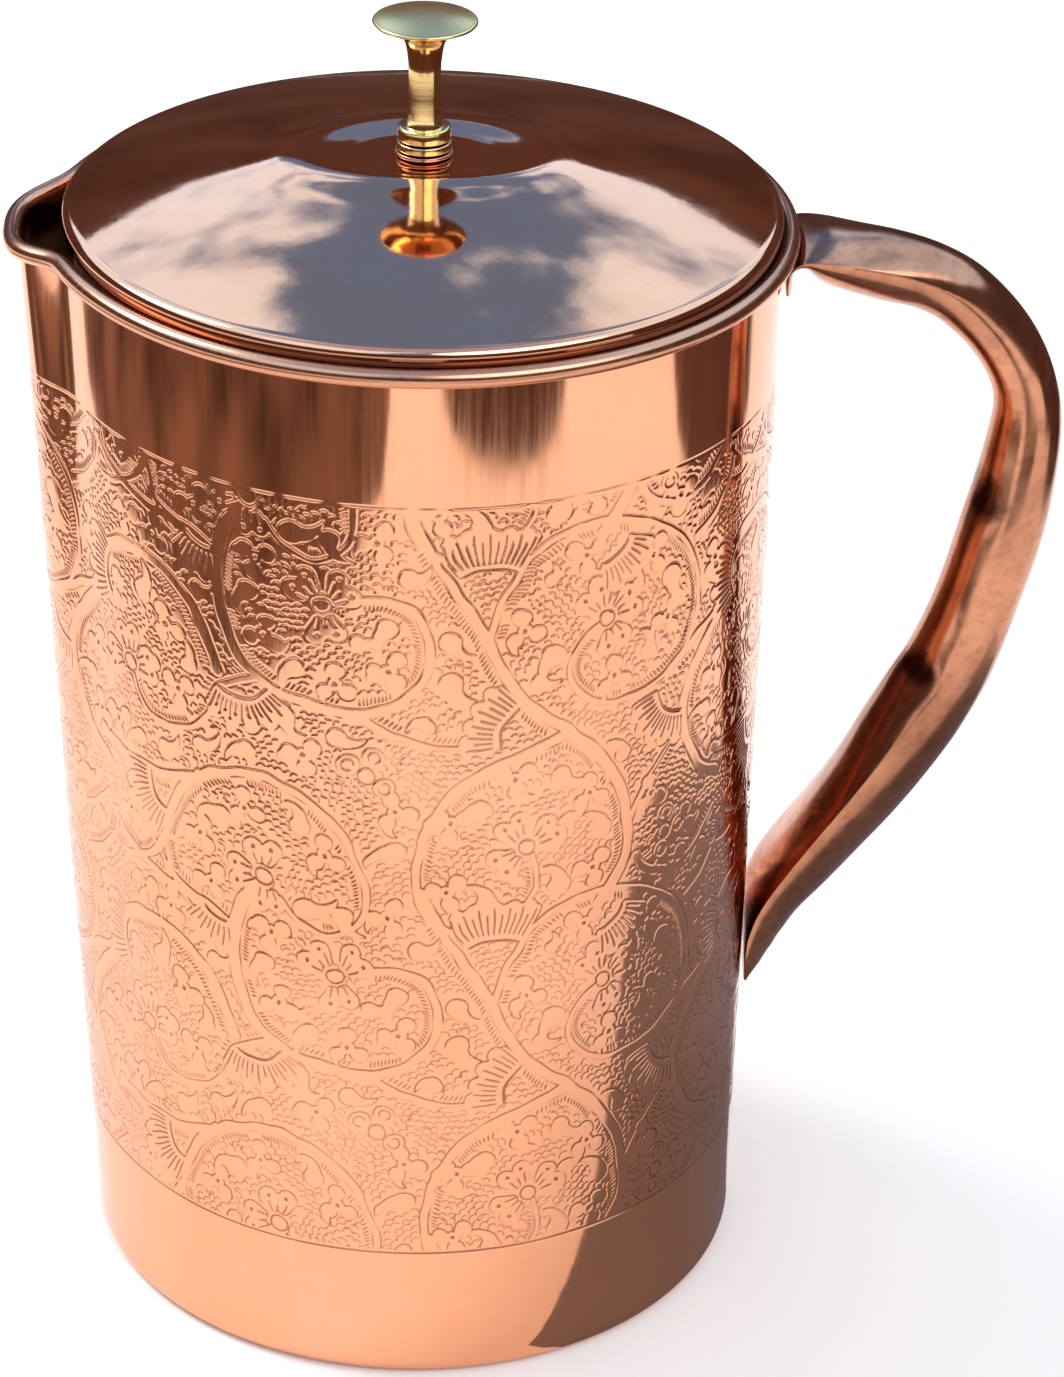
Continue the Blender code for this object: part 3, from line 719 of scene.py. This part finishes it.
# ---- handle ------------------------------------------------------------------
# A tapered tube squashed flat at both ends. Along the crease line between its two
# skins: x, z, height of the outer skin, height of the grip side's skin, half width,
# how hollow-edged the flatter skin is, how far the piece wraps round the wall
HANDLE = (
    (58.90, 178.6, 0.75, 0.75, 8.6, 0.0, 1.0),
    (59.00, 181.0, 0.75, 0.75, 9.8, 0.0, 1.0),
    (59.50, 183.4, 0.75, 1.10, 10.2, 0.0, 1.0),
    (61.20, 184.9, 0.80, 3.20, 10.3, 0.4, 0.7),
    (64.50, 184.9, 1.70, 6.10, 10.3, 0.7, 0.2),
    (69.00, 184.1, 2.30, 7.20, 9.7, 0.7, 0.0),
    (76.00, 182.3, 3.50, 7.60, 8.4, 0.6, 0.0),
    (82.50, 179.5, 4.50, 6.60, 7.0, 0.4, 0.0),
    (88.30, 175.2, 5.20, 5.80, 6.1, 0.1, 0.0),
    (94.40, 167.9, 5.50, 5.20, 5.7, 0.0, 0.0),
    (98.30, 159.5, 5.55, 5.10, 5.8, 0.0, 0.0),
    (99.00, 150.3, 6.20, 6.00, 6.3, 0.0, 0.0),
    (96.60, 135.4, 7.30, 6.80, 7.1, 0.0, 0.0),
    (93.20, 119.8, 7.00, 7.20, 7.1, 0.0, 0.0),
    (88.80, 108.8, 8.20, 6.90, 7.3, 0.0, 0.0),
    (84.00, 101.2, 9.60, 6.20, 7.8, 0.1, 0.0),
    (78.80, 93.9, 10.40, 4.80, 8.5, 0.35, 0.0),
    (73.30, 86.2, 10.60, 3.00, 9.2, 0.6, 0.0),
    (67.80, 78.5, 10.20, 1.80, 9.7, 0.75, 0.0),
    (62.90, 71.0, 9.40, 1.10, 10.0, 0.75, 0.2),
    (59.60, 64.6, 7.90, 0.80, 10.1, 0.5, 0.7),
    (58.00, 59.2, 6.50, 0.75, 10.0, 0.3, 1.0),
    (57.50, 55.0, 4.90, 0.75, 9.7, 0.0, 1.0),
    (57.50, 51.8, 3.10, 0.75, 9.1, 0.0, 1.0),
    (57.45, 49.0, 0.90, 0.75, 8.0, 0.0, 1.0),
)
HANDLE_SHEET = 0.8
HANDLE_SLIT = 0.15
DENTS = ((91.9, -3.8, 141.1), (83.4, -5.0, 109.6))      # two dents on the grip side
DENT_DEEP = 0.55
DENT_WIDE = 3.0
ROUND_SIDE = 0.3        # how much of the hollow edge shows on the rounder skin


def smooth_rows(rows, steps):
    """The handle's rows with steps more of them in each gap."""
    table = np.array(rows)
    out = [between(table, i, s / steps) for i in range(len(table) - 1) for s in range(steps)]
    return np.array(out + [table[-1]])


def handle_skin(rows, normals, sides, shrink):
    """Rings of one skin of the tube: round, or pinched to an edge at each side."""
    a = 2.0 * np.pi * np.arange(sides) / sides
    rings = []
    for (x, z, outer, grip, wide, edge, wrap), normal in zip(rows, normals):
        s = np.sin(a)
        height, other = np.where(s > 0.0, outer, grip), np.where(s > 0.0, grip, outer)
        power = 1.0 + edge * np.where(height < other, 1.0, ROUND_SIDE)
        if shrink:
            height = np.maximum(height - shrink, HANDLE_SLIT)
        n = np.sign(s) * np.abs(s) ** power * height
        y = np.cos(a) * (wide - shrink)
        around = R_TOP - np.sqrt(R_TOP ** 2 - y * y)
        ring = np.stack([x + normal[0] * n - wrap * around, y, z + normal[1] * n], axis=-1)
        inward = ring.mean(axis=0) - ring
        inward /= np.linalg.norm(inward, axis=1)[:, None] + 0.01
        for dent in DENTS:
            near = np.exp(-((ring - np.array(dent)) ** 2).sum(axis=1) / (2.0 * DENT_WIDE ** 2))
            ring = ring + inward * (DENT_DEEP * near)[:, None]
        rings.append(ring)
    return np.array(rings)


def build_handle():
    sides = 72
    rows = smooth_rows(HANDLE, 10)
    along = np.gradient(rows[:, :2], axis=0)
    along /= np.linalg.norm(along, axis=1)[:, None]
    normals = np.stack([-along[:, 1], along[:, 0]], axis=-1)
    outer = handle_skin(rows, normals, sides, 0.0)
    inner = handle_skin(rows, normals, sides, HANDLE_SHEET)
    count = len(rows)
    # out along the outer skin, back along the inner one, as one closed strip of rings
    rings = np.concatenate([outer, inner[::-1]])
    faces = loft_faces(2 * count, sides, True)[:, ::-1]
    # painted dark reflections round the two dents, on top of the real dents in the shape
    mottled = metal("copper_handle", COPPER_DULL, COPPER_BROWN, 0.17, streak=(0.2, 1.0, 0.2), tarnish=0.6,
                    painted_reflection_spots=DENTS, spots_from=0.47)
    add_object("handle_tube", rings.reshape(-1, 3), faces, mottled, "jug", "handle",
               sharp_deg=50.0)


# ---- lid ---------------------------------------------------------------------
def dome_z(r):
    """Height of the lid's top at a radius: a flat seat and a shallow dome round it."""
    t = max(r - BOSS_R, 0.0) / (LID_EDGE_R - BOSS_R)
    return LID_TOP - (LID_TOP - LID_EDGE_Z) * t ** 1.75


def lid_swell(x, y):
    """The slight oval swell that hand work left round the seat."""
    r = np.hypot(x / SWELL_WIDE, y - 1.5)
    return SWELL * np.exp(-((r - SWELL_R) / 4.7) ** 2) * np.clip((r - BOSS_R) / 1.9, 0.0, 1.0)


def build_lid():
    radii = [SCREW_HOLE_R + 0.2 * i for i in range(5)]
    radii += list(np.linspace(3.0, LID_EDGE_R, 90))
    turn = LID_R - LID_EDGE_R
    outer = [(r, dome_z(r)) for r in radii]
    outer += arc(LID_EDGE_R, LID_EDGE_Z - turn, turn, 90.0, 0.0, 10)[1:]
    outer += line((LID_R, LID_EDGE_Z - turn), (LID_R, LIP_Z), 6)
    inner = [(LID_R - SHEET, LIP_Z)]
    inner += arc(LID_EDGE_R, LID_EDGE_Z - turn, turn - SHEET, 0.0, 90.0, 8)
    inner += [(r, dome_z(r) - SHEET) for r in reversed(radii[::3])]
    outline = (outer + inner)[::-1]
    verts, faces = revolve(outline, 256, wobble=lambda r, a: lid_swell(r * np.cos(a), r * np.sin(a)))
    # painted shade on the lip's foot, standing for the dark gap between lid and rim
    polish = metal("copper_lid_polish", COPPER, COPPER_WARM, 0.055, painted_shade_below=LIP_Z + 1.6)
    add_object("lid_dome", verts, faces, polish, "lid", "lid_shell", sharp_deg=50.0)


def build_skirt():
    bore = SKIRT_R - SHEET
    outline = [(bore, SKIRT_TOP)] + line((bore, SKIRT_TOP), (bore, SKIRT_BOTTOM + 1.4), 4)
    # the lower edge is turned in
    turned_in = ((1.2, 0.8), (1.5, 0.5), (1.4, 0.1), (1.1, 0.0), (0.4, 0.45), (0.0, 1.2))
    outline += [(SKIRT_R - r, SKIRT_BOTTOM + z) for r, z in turned_in]
    outline += line((SKIRT_R, SKIRT_BOTTOM + 1.2), (SKIRT_R, SKIRT_TOP), 4)
    verts, faces = revolve(outline, 192)
    add_object("lid_ring", verts, faces, metal("copper_satin", COPPER, COPPER_WARM, 0.28), "lid",
               "lid_skirt", sharp_deg=50.0)


# ---- knob --------------------------------------------------------------------
def ring_outline(r_in, r_out, z0, z1, round_r):
    """Outline of a flat ring with its outer corners rounded."""
    out = [(r_in, z0), (r_out - round_r * 1.5, z0)]
    out += arc(r_out - round_r, z0 + round_r, round_r, -90.0, 0.0, 5)
    out += arc(r_out - round_r, z1 - round_r, round_r, 0.0, 90.0, 5)
    out += [(r_out - round_r * 1.5, z1), (r_in, z1)]
    return out


def build_knob():
    brass = metal("brass_polish", BRASS, BRASS_WARM, 0.10, streak=(0.05, 0.05, 1.0), satin_above=CAP_Z + 0.2)
    profile = [(SCREW_HOLE_R, KNOB_BOTTOM), (FLANGE_R - 0.5, KNOB_BOTTOM)]
    profile += arc(FLANGE_R - 0.25, KNOB_BOTTOM + 0.25, 0.25, -90.0, 0.0, 4)
    profile += arc(FLANGE_R - 0.35, FLANGE_TOP - 0.35, 0.35, 0.0, 90.0, 4)
    profile += [(STEM_R + 0.9, FLANGE_TOP), (STEM_R + 0.32, FLANGE_TOP + 0.05)]
    profile += [(STEM_R + 0.2, FLANGE_TOP + 0.5), (STEM_R + 0.1, FLANGE_TOP + 1.4)]
    profile += [(STEM_R, FLANGE_TOP + 5.0), (STEM_R, CAP_Z - 8.0)]
    profile += [(STEM_R + 0.8 * t + 3.2 * t ** 6, CAP_Z - 7.0 + 6.0 * t) for t in np.linspace(0.0, 1.0, 14)]
    profile += [(CAP_R - 0.9, CAP_Z - 0.62), (CAP_R - 0.3, CAP_Z - 0.34)]
    profile += arc(CAP_R - 0.3, CAP_Z, 0.3, -60.0, 70.0, 8)
    top = np.linspace(CAP_R - 0.5, 0.05, 22)
    profile += [(r, CAP_Z + 1.1 - 0.85 * (r / (CAP_R - 0.3)) ** 2.2) for r in top]
    profile += [(0.05, SCREW_TOP + 0.5), (SCREW_HOLE_R, SCREW_TOP + 0.5)]
    verts, faces = revolve(profile, 128)
    add_object("knob_turned", verts, faces, brass, "lid", "knob", sharp_deg=50.0)
    collar = ring_outline(SCREW_HOLE_R, COLLAR_R, KNOB_BOTTOM - 1.6, KNOB_BOTTOM - 0.3, 0.25)
    verts, faces = revolve(collar, 96)
    collar_brass = metal("brass_collar_polish", BRASS_WARM, BRASS, 0.14)
    add_object("collar_turned", verts, faces, collar_brass, "lid", "knob_collar",
               sharp_deg=50.0)
    washer = ring_outline(SCREW_HOLE_R, WASHER_R, LID_TOP + 0.25, KNOB_BOTTOM - 1.9, 0.15)
    verts, faces = revolve(washer, 96)
    washer_copper = metal("copper_washer_polish", COPPER, COPPER_WARM, 0.2)
    add_object("washer_pressed", verts, faces, washer_copper, "lid", "knob_washer",
               sharp_deg=50.0)


def dress_cad_nodes():
    """Materials for the small CAD pieces that stay as they are."""
    for node, mat in (
        ("rim_wire", metal("copper_dull", COPPER_GREY, COPPER_WARM, 0.35)),
        ("base_disc", metal("copper_base_satin", COPPER, COPPER_WARM, 0.25, streak=(0.05, 1.0, 1.0))),
        ("knob_screw", metal("steel_plain", STEEL, (0.50, 0.50, 0.48), 0.3)),
        ("under_washer", metal("brass_satin", BRASS, BRASS_WARM, 0.3)),
    ):
        NODES[node].data.materials.clear()
        NODES[node].data.materials.append(mat)


# ---- stage -------------------------------------------------------------------
CARD_REACH = 480.0      # far edge of the shapes on the floor, mm out from the wall
SIDE_NEAR = 500.0       # the card at the handle's side and behind, mm from the middle
SIDE_FAR = 1480.0
HORIZON_REACH = 1.5     # metres
SKY_REACH = 3.0


def stage_card(name, points, faces, mat, seen=False):
    """Part of the stage, by default seen only in reflections; points in metres."""
    mesh = bpy.data.meshes.new(name)
    mesh.from_pydata(points, [], faces)
    mesh.materials.append(mat)
    obj = bpy.data.objects.new(name, mesh)
    bpy.context.scene.collection.objects.link(obj)
    if not seen:
        obj.visible_camera = False
        obj.visible_diffuse = False
        obj.visible_shadow = False


def stage_shape(name, outline, up, mat):
    """A flat card just above the floor; outline in mm."""
    points = [(x * MM, y * MM, up * MM) for x, y in outline]
    stage_card(name, points, [tuple(range(len(points)))], mat)


def stage_round(name, profile, mat, segments=72):
    """A card that runs all the way round the jug; profile of (radius, z) in metres."""
    angles = 2.0 * np.pi * np.arange(segments) / segments
    points = [(r * math.cos(a), r * math.sin(a), z) for a in angles for r, z in profile]
    rows = len(profile)
    starts = [(i * rows, (i + 1) % segments * rows) for i in range(segments)]
    faces = [(a + j, b + j, b + j + 1, a + j + 1) for a, b in starts for j in range(rows - 1)]
    stage_card(name, points, faces, mat)


def card_material(name, colour, second, scale):
    """A matt card of two cloudy tones."""
    n = Nodes(name)
    cloudy = n.remap(n.noise(scale, detail=3.0), 0.35, 0.65, 0.0, 1.0)
    n.link(n.blend(cloudy, colour, second), n.bsdf.inputs["Base Color"])
    n.bsdf.inputs["Roughness"].default_value = 0.8
    n.bsdf.inputs["Specular IOR Level"].default_value = 0.1
    return n.mat


def glow_material(name, colour, second, zenith, scale):
    """A card that gives its own light: clear in the middle, cloudy to the sides, plain overhead."""
    n = Nodes(name)
    place = n.tree.nodes.new("ShaderNodeSeparateXYZ")
    n.link(n.coords.outputs["Object"], place.inputs["Vector"])
    aside = n.remap(n.maths("ABSOLUTE", place.outputs["X"], 0.0), 0.18, 0.70, -0.09, 0.15)
    clouds = n.maths("ADD", n.noise(scale, detail=6.0, rough=0.62), aside)
    sky = n.blend(n.remap(clouds, 0.48, 0.58, 0.0, 1.0), colour, second)
    top = n.remap(place.outputs["Z"], 2.6, 2.85, 0.0, 1.0)
    n.link(n.blend(top, sky, zenith), n.bsdf.inputs["Emission Color"])
    n.bsdf.inputs["Emission Strength"].default_value = 1.0
    n.bsdf.inputs["Base Color"].default_value = (0.0, 0.0, 0.0, 1.0)
    n.bsdf.inputs["Specular IOR Level"].default_value = 0.0
    return n.mat


def around(degrees, reach):
    """A place on the floor that the wall mirrors: by the wall's angle from the front, and how far out."""
    a = math.radians(degrees)
    return (ARC_R * math.sin(a) + reach * math.sin(2.0 * a),
            -ARC_R * math.cos(a) - reach * math.cos(2.0 * a))


def area_light(name, place, target, size, power, colour=(1.0, 1.0, 1.0)):
    data = bpy.data.lights.new(name, "AREA")
    data.shape = "DISK"
    data.size = size
    data.energy = power
    data.color = colour
    obj = bpy.data.objects.new(name, data)
    bpy.context.scene.collection.objects.link(obj)
    obj.location = place
    obj.rotation_euler = (Vector(target) - Vector(place)).to_track_quat("-Z", "Y").to_euler()
    return obj


def floor_cards(up):
    """Brown shapes on the floor, and a grey card painted as the jug's shadow, which the wall mirrors; up is
    their height in mm.
    """
    dark = card_material("card_brown", (0.050, 0.022, 0.014), (0.09, 0.045, 0.03), 4.0)
    bushes = card_material("card_bushes", (0.045, 0.024, 0.016), (0.20, 0.12, 0.085), 13.0)
    shade = card_material("card_shade", (0.16, 0.155, 0.18), (0.22, 0.22, 0.24), 6.0)
    # each shape: its near edge as (angle on the wall, reach), then the angles of its far edge
    shapes = (
        ("card_left", bushes, ((-5, 360), (-6, 318), (-9, 300), (-11, 270), (-15, 250), (-21, 242),
                               (-27, 228), (-33, 222), (-38, 230), (-43, 250), (-48, 268), (-52, 290),
                               (-57, 306), (-62, 330), (-65, 360)), (-67, -60, -45, -30, -20, -12, -5)),
        ("card_front", dark, ((3, 372), (5, 346), (9, 333), (14, 329), (19, 334), (22, 350), (23, 374)),
         (23, 18, 9, 4)),
        ("card_right", dark, ((43, 390), (45, 340), (49, 308), (56, 298), (62, 312), (65, 345)),
         (65, 54, 43)),
        # painted shadow: a grey card where the jug's shadow falls, seen only in reflections
        ("card_shadow", shade, ((21, 2), (27, 14), (33, 40), (37, 91), (39, 150), (45, 186), (60, 190),
                                (80, 140), (88, 2)), ()),
    )
    for name, mat, near, far in shapes:
        outline = [around(a, reach) for a, reach in near] + [around(a, CARD_REACH) for a in far]
        stage_shape(name, outline, up, mat)
    turns = np.radians(np.arange(-25.0, 121.0, 10.0))
    sector = [(SIDE_NEAR * math.cos(a), SIDE_NEAR * math.sin(a)) for a in turns]
    sector += [(SIDE_FAR * math.cos(a), SIDE_FAR * math.sin(a)) for a in turns[::-1]]
    stage_shape("card_side", sector, up, dark)
    return dark


def horizon(low, mat):
    """A brown wall all round, lower in two places behind the jug; low in metres."""
    angles = np.radians(np.arange(0.0, 360.0, 2.0))
    aside = np.abs(np.degrees(angles) - 90.0)
    rim = 0.89 - 0.09 * np.clip((aside - 3.5) / 9.0, 0.0, 1.0)
    rim = rim + 0.18 * np.clip((aside - 13.0) / 9.0, 0.0, 1.0)
    ring = [(HORIZON_REACH * math.cos(a), HORIZON_REACH * math.sin(a), z)
            for a, top in zip(angles, rim) for z in (low, top)]
    faces = loft_faces(len(angles), 2, True)[::2]
    stage_card("card_horizon", ring, [tuple(int(i) for i in face) for face in faces], mat)


def world_sky():
    """Soft light from all round, a little cloudy."""
    world = bpy.data.worlds.new("studio_sky")
    bpy.context.scene.world = world
    world.use_nodes = True
    tree = world.node_tree
    background = tree.nodes["Background"]
    coords = tree.nodes.new("ShaderNodeTexCoord")
    clouds = tree.nodes.new("ShaderNodeTexNoise")
    clouds.inputs["Scale"].default_value = 2.2
    clouds.inputs["Detail"].default_value = 5.0
    tree.links.new(coords.outputs["Generated"], clouds.inputs["Vector"])
    ramp = tree.nodes.new("ShaderNodeValToRGB")
    ramp.color_ramp.elements[0].position = 0.42
    ramp.color_ramp.elements[0].color = (0.72, 0.74, 0.86, 1.0)
    ramp.color_ramp.elements[1].position = 0.62
    ramp.color_ramp.elements[1].color = (1.25, 1.25, 1.25, 1.0)
    tree.links.new(clouds.outputs["Fac"], ramp.inputs["Fac"])
    tree.links.new(ramp.outputs["Color"], background.inputs["Color"])
    background.inputs["Strength"].default_value = 0.9


def build_stage():
    floor = card_material("floor_pale", (0.93, 0.93, 0.925), (0.90, 0.90, 0.90), 2.0)
    ground_z = CAD_BOX[0][2]
    corners = [(-4.0, -4.0, ground_z), (4.0, -4.0, ground_z), (4.0, 4.0, ground_z), (-4.0, 4.0, ground_z)]
    stage_card("floor", corners, [(0, 1, 2, 3)], floor, seen=True)
    low = ground_z / MM + 1.0
    horizon(low * MM, floor_cards(low))
    sky = glow_material("card_lilac", (0.15, 0.325, 0.76), (1.0, 1.55, 2.3), (0.52, 0.58, 0.92), 1.6)
    dome = [(SKY_REACH * math.cos(a), SKY_REACH * math.sin(a)) for a in np.radians(np.arange(8, 90, 9))]
    stage_round("card_sky", dome, sky)
    world_sky()
    area_light("key", (-1.3, 0.5, 1.6), (0.0, 0.0, 0.1), 1.0, 24.0)
    area_light("fill", (0.9, -1.3, 1.5), (0.0, 0.0, 0.1), 1.8, 16.0)


# ---- camera ------------------------------------------------------------------
CAMERA_AT = (0.0, -0.69567, 0.48515)
CAMERA_HEADING_DEG = 1.732      # to the right of +Y
CAMERA_DOWN_DEG = 28.817
CAMERA_ROLL_DEG = 1.373


def build_camera():
    data = bpy.data.cameras.new("camera")
    data.sensor_fit = "HORIZONTAL"
    data.sensor_width = 36.0
    data.lens = 159.02
    data.shift_x = -0.01087
    data.shift_y = -0.00154
    data.clip_start = 0.01
    data.clip_end = 50.0
    obj = bpy.data.objects.new("camera", data)
    bpy.context.scene.collection.objects.link(obj)
    heading = Matrix.Rotation(math.radians(-CAMERA_HEADING_DEG), 4, "Z")
    tilt = Matrix.Rotation(math.radians(90.0 - CAMERA_DOWN_DEG), 4, "X")
    roll = Matrix.Rotation(math.radians(CAMERA_ROLL_DEG), 4, "Z")
    obj.matrix_world = Matrix.Translation(CAMERA_AT) @ heading @ tilt @ roll
    bpy.context.scene.camera = obj


build_wall()
build_handle()
build_lid()
build_skirt()
build_knob()
dress_cad_nodes()
build_stage()
build_camera()
view = bpy.context.scene.view_settings
view.view_transform = "Standard"
view.exposure = 0.0
